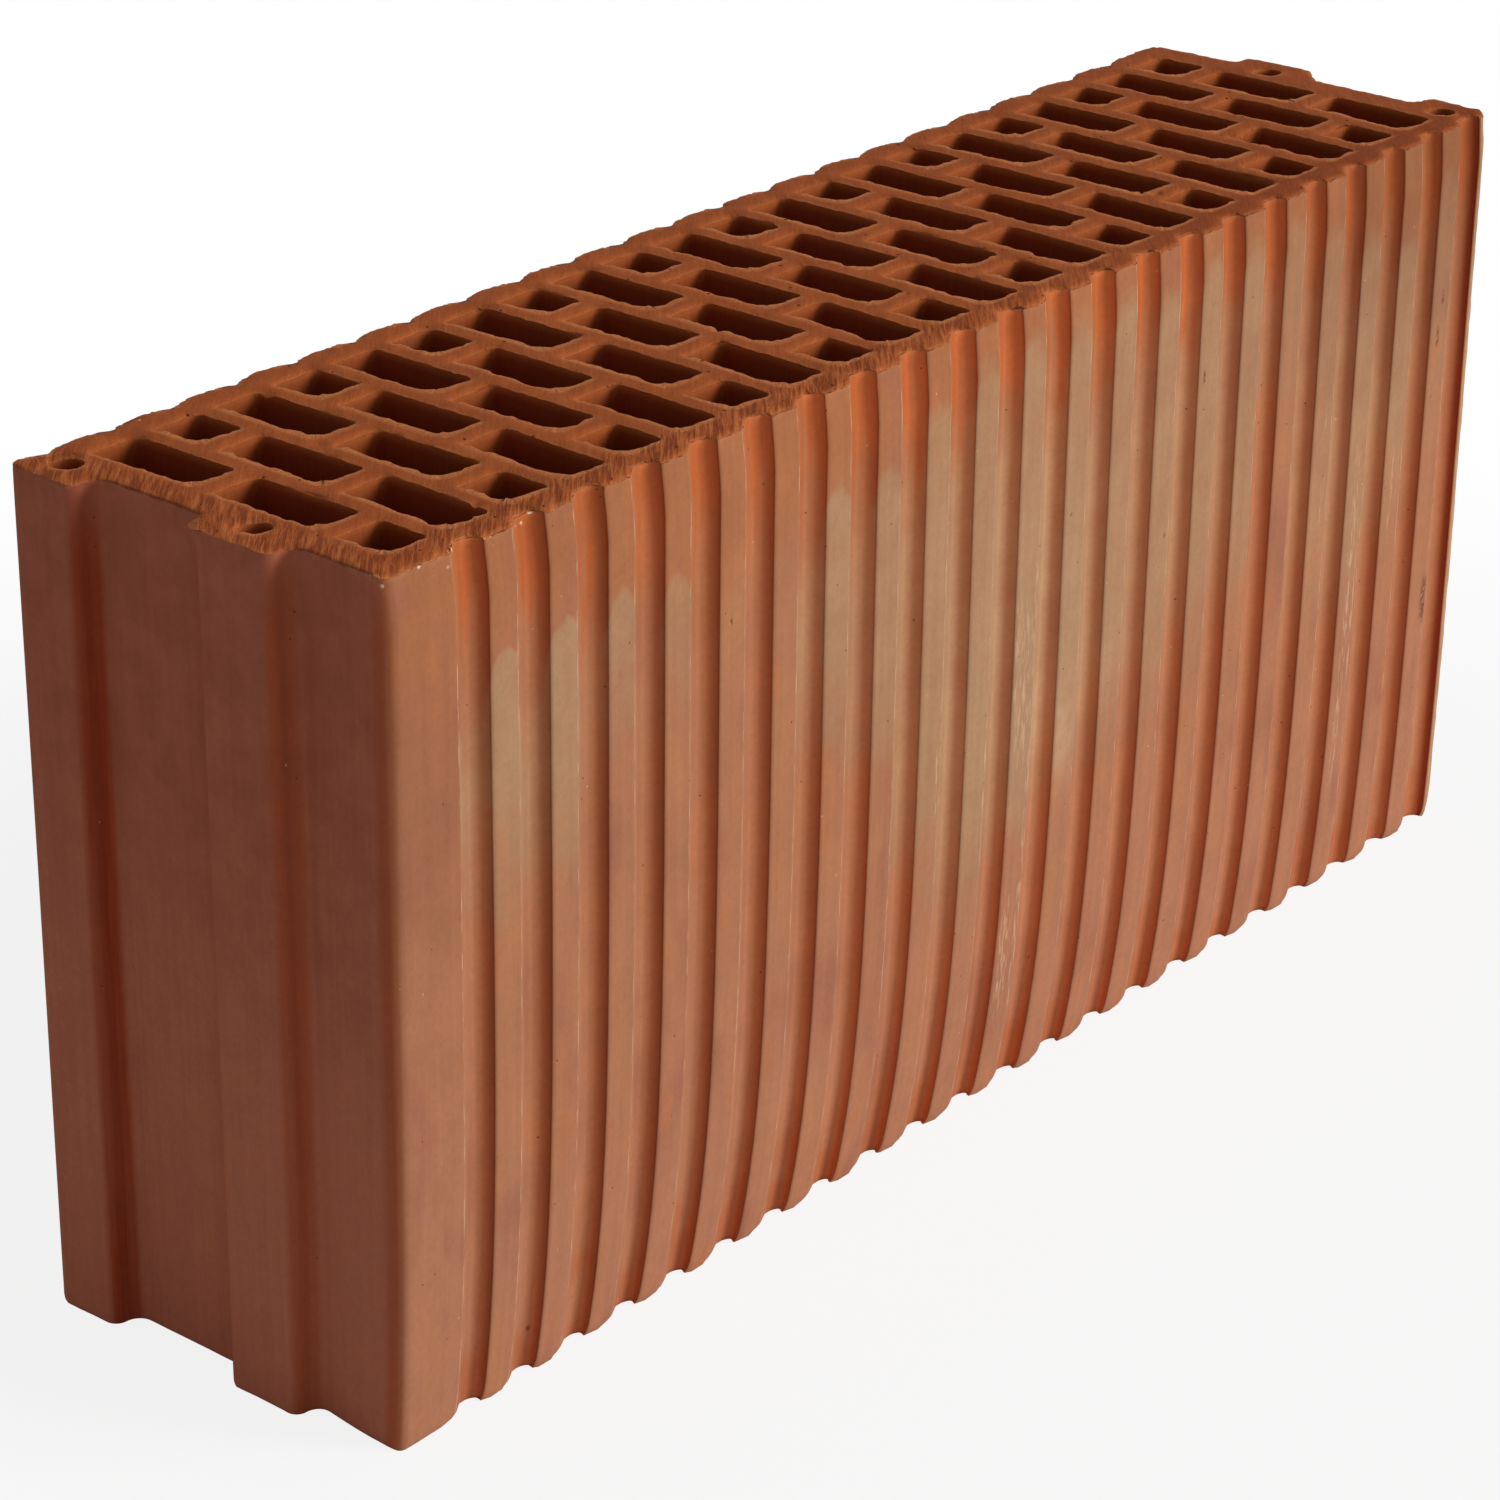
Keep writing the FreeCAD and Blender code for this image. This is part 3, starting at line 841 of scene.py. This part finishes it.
def wire_cut_face():
    """The cut beds: clay torn by the cutting wire, with drag marks, pits and pale crumbs on the rims."""
    material, tree, shader = clay_finish("wire_cut_face")
    place = note(tree, "unbent").outputs["Vector"]
    axes = put(tree, "ShaderNodeSeparateXYZ", {"Vector": place}).outputs
    lip = note(tree, "lip").outputs["Fac"]
    margin = note(tree, "margin").outputs["Fac"]
    feeds = {"Vector": place, "Angle": -math.atan2(WIRE_WAY.y, WIRE_WAY.x)}
    turned = put(tree, "ShaderNodeVectorRotate", feeds, rotation_type="Z_AXIS").outputs["Vector"]
    tears = clouds(tree, turned, 0.9, 2.0, (11.0, 1.0, 1.0))
    wide_tears = clouds(tree, turned, 2.6, 3.0, (5.0, 1.0, 1.0))
    patch = clouds(tree, place, 15.0, 4.0)
    fine = clouds(tree, place, 0.7, 3.0)
    colour = over(tree, between(tree, patch, 0.25, 0.75), CUT_CLAY, CUT_PATCH)
    share = between(tree, margin, 0.0, 1.0, 0.22, 1.0)
    scored = times(tree, share, between(tree, tears, 0.52, 0.4))
    colour = over(tree, times(tree, scored, 0.62), colour, TEAR_GROUND)
    combed = times(tree, share, between(tree, tears, 0.54, 0.66))
    colour = over(tree, times(tree, combed, 0.5), colour, TEAR_RIDGE)
    edged = times(tree, between(tree, axes["X"], 0.0, 0.15), between(tree, axes["Y"], -0.044, -0.052))
    colour = over(tree, times(tree, edged, 0.65), colour, CUT_EDGE)
    dulled = between(tree, axes["X"], -0.1, 0.2, 1.0, 0.87)
    colour = toned(tree, colour, dulled, between(tree, wide_tears, 0.3, 0.7, 0.92, 1.07),
                   between(tree, fine, 0.3, 0.7, 0.93, 1.07))
    crumbs = times(tree, lip, between(tree, fine, 0.35, 0.6, 0.4, 1.0))
    colour = over(tree, crumbs, colour, CUT_CRUMB)
    pits = dots(tree, place, 4.6, 0.5, 0.3)
    colour = over(tree, times(tree, pits, 0.8), colour, CUT_PIT)
    specks = dots(tree, place, 11.0, 0.42, 0.16)
    colour = over(tree, times(tree, specks, 0.9), colour, CUT_SPECK)
    tree.links.new(colour, shader.inputs["Base Color"])
    tree.links.new(between(tree, patch, 0.3, 0.7, 0.84, 0.95), shader.inputs["Roughness"])
    relief = sums(tree, "MULTIPLY_ADD", times(tree, tears, share), 0.7, times(tree, fine, 0.3))
    bumped(tree, shader, sums(tree, "SUBTRACT", relief, pits), 0.5)
    return material


def slot_wall_clay():
    """Walls of the slots and holes: smooth drawn clay, orange under the cuts, with painted shade making them
    darker further in, most on the walls that face the block's ends.
    """
    material, tree, shader = clay_finish("slot_wall_clay")
    place = note(tree, "unbent").outputs["Vector"]
    axes = put(tree, "ShaderNodeSeparateXYZ", {"Vector": place}).outputs
    lip = note(tree, "lip").outputs["Fac"]
    steep = note(tree, "steep").outputs["Fac"]
    up = sums(tree, "MULTIPLY", axes["Z"], MM_IN_METRE)
    inside = sums(tree, "MINIMUM", up, sums(tree, "SUBTRACT", HEIGHT, up))
    # Painted shade: the walls that face the block's ends darken sooner than those that face the long sides
    inside = times(tree, inside, one_plus(tree, steep, -0.62))
    drawn = clouds(tree, place, 1.8, 3.0, (1.0, 1.0, 40.0))
    patch = clouds(tree, place, 12.0, 3.0)
    fine = clouds(tree, place, 0.9, 3.0)
    colour = over(tree, patch, SLOT_CLAY, SLOT_PATCH)
    # Painted shade under the rim and deeper in
    colour = over(tree, between(tree, inside, 0.2, 3.6), colour, SLOT_SHADE_UNDER_RIM)
    colour = over(tree, between(tree, inside, 2.5, 14.0), colour, SLOT_SHADE_INSIDE)
    colour = toned(tree, colour, between(tree, drawn, 0.3, 0.7, 0.95, 1.04))
    crumbs = times(tree, lip, between(tree, fine, 0.38, 0.6, 0.1, 0.7))
    colour = over(tree, crumbs, colour, SLOT_CRUMB)
    tree.links.new(colour, shader.inputs["Base Color"])
    tree.links.new(between(tree, patch, 0.3, 0.7, 0.8, 0.92), shader.inputs["Roughness"])
    bumped(tree, shader, sums(tree, "MULTIPLY_ADD", drawn, 0.7, times(tree, fine, 0.3)), 0.3)
    return material


def fired_block():
    """The finished block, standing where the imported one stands."""
    bm, slots = divided_block()
    worked_clay(bm, slots)
    keep_in_box(bm)
    sharp_edges(bm, SHARP_TURN)
    mesh = bpy.data.meshes.new("fired_block")
    bm.to_mesh(mesh)
    bm.free()
    block = bpy.data.objects.new("fired_block", mesh)
    bpy.context.scene.collection.objects.link(block)
    for material in (extruded_skin(), wire_cut_face(), slot_wall_clay()):
        mesh.materials.append(material)
    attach(block, "root")
    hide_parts("clay_block")


def studio_floor():
    """A plain white floor that keeps the block's shadow close by and turns into the backdrop further out."""
    bm = bmesh.new()
    bmesh.ops.create_grid(bm, x_segments=2, y_segments=2, size=FLOOR_REACH)
    mesh = bpy.data.meshes.new("studio_floor")
    bm.to_mesh(mesh)
    bm.free()
    floor = bpy.data.objects.new("studio_floor", mesh)
    floor.location.z = cad_low.z
    bpy.context.scene.collection.objects.link(floor)
    material = bpy.data.materials.new("white_floor")
    material.use_nodes = True
    tree = material.node_tree
    tree.nodes.clear()
    place = put(tree, "ShaderNodeTexCoord").outputs["Object"]
    reach = put(tree, "ShaderNodeVectorMath", {0: place}, operation="LENGTH").outputs["Value"]
    faded = between(tree, reach, BACKDROP_FROM, BACKDROP_FULL, 0.85, 1.0)
    seen = put(tree, "ShaderNodeLightPath").outputs["Is Camera Ray"]
    share = times(tree, faded, seen)
    paint = put(tree, "ShaderNodeBsdfDiffuse", {"Color": (0.8, 0.8, 0.8, 1.0)}).outputs[0]
    glow = put(tree, "ShaderNodeEmission", {"Color": (1.0, 1.0, 1.0, 1.0), "Strength": 1.0}).outputs[0]
    mixed = put(tree, "ShaderNodeMixShader", {0: share, 1: paint, 2: glow}).outputs[0]
    put(tree, "ShaderNodeOutputMaterial", {"Surface": mixed})
    mesh.materials.append(material)


def soft_lamp(name, towards, distance, size, power):
    """A square soft lamp that faces the block's middle."""
    lamp = bpy.data.lights.new(name, "AREA")
    lamp.shape = "SQUARE"
    lamp.size = size
    lamp.energy = power
    thing = bpy.data.objects.new(name, lamp)
    way = Vector(towards).normalized()
    thing.location = Vector((0.0, 0.0, HEIGHT / 2 * MM)) + way * distance
    thing.rotation_mode = "QUATERNION"
    thing.rotation_quaternion = (-way).to_track_quat("-Z", "Y")
    bpy.context.scene.collection.objects.link(thing)


def studio_light():
    """A key lamp from the front right above, and an even white surround."""
    soft_lamp("key_lamp", KEY_WAY, KEY_DISTANCE, KEY_SIZE, KEY_POWER)
    world = bpy.data.worlds.new("white_surround")
    bpy.context.scene.world = world
    world.use_nodes = True
    tree = world.node_tree
    tree.nodes.clear()
    rays = put(tree, "ShaderNodeLightPath").outputs
    passed_on = sums(tree, "MAXIMUM", rays["Is Glossy Ray"], rays["Is Transmission Ray"])
    shown = sums(tree, "MAXIMUM", rays["Is Camera Ray"], passed_on)
    strength = sums(tree, "MULTIPLY_ADD", shown, 0.7, 0.3)
    feeds = {"Color": (1.0, 1.0, 1.0, 1.0), "Strength": strength}
    backdrop = put(tree, "ShaderNodeBackground", feeds).outputs[0]
    put(tree, "ShaderNodeOutputWorld", {"Surface": backdrop})


def photo_camera():
    """The camera at the photograph's viewing angle."""
    turn, rise, roll = (math.radians(angle) for angle in VIEW_ANGLES)
    back = Vector((math.sin(turn) * math.cos(rise), -math.cos(turn) * math.cos(rise), math.sin(rise)))
    level = Vector((math.cos(turn), math.sin(turn), 0.0))
    raised = back.cross(level)
    right = level * math.cos(roll) + raised * math.sin(roll)
    up = raised * math.cos(roll) - level * math.sin(roll)
    middle = Vector((0.0, 0.0, HEIGHT / 2))
    stand = middle + back * VIEW_DISTANCE - right * VIEW_ASIDE - up * VIEW_BELOW
    camera = bpy.data.cameras.new("photo_camera")
    camera.sensor_width = SENSOR_WIDTH
    camera.lens = LENS
    camera.clip_start, camera.clip_end = 0.05, 60.0
    thing = bpy.data.objects.new("photo_camera", camera)
    columns = (right, up, back, stand * MM)
    rows = [[column[row] for column in columns] for row in range(3)]
    thing.matrix_world = Matrix(rows + [[0.0, 0.0, 0.0, 1.0]])
    bpy.context.scene.collection.objects.link(thing)
    bpy.context.scene.camera = thing


fired_block()
studio_floor()
studio_light()
photo_camera()
bpy.context.scene.view_settings.view_transform = "Standard"
